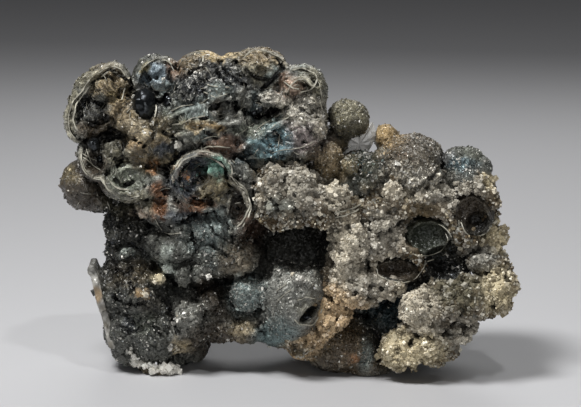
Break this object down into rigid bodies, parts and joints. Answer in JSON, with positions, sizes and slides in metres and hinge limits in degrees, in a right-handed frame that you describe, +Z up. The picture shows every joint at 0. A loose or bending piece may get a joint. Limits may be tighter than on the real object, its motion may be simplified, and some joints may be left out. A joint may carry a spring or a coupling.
{
  "type": "native arsenic specimen",
  "caption": "Hand-sized botryoidal native arsenic specimen with broken shell-like lobes, a granular dolomite crust over one half and a little white calcite, standing on its own feet.",
  "frame": {"origin": "centre of the specimen's footprint box, on the surface that it stands on", "axes": "+X along the specimen's length to the crusted end, +Y away from the broken display face, +Z up"},
  "size_m": [0.1123, 0.0471, 0.0809],
  "materials": {
    "arsenic": "dull to sub-metallic, rough, with a fine sparkle of small crystal faces",
    "dolomite": "granular, of small pale rhombs",
    "calcite_clear": "translucent, smooth cleavage faces",
    "calcite_white": "chalky, finely ribbed"
  },
  "bodies": {
    "root": {"arsenic_mass": "arsenic", "dolomite_crust": "dolomite", "calcite_blade": "calcite_clear", "calcite_rind": "calcite_white"}
  },
  "joints": []
}
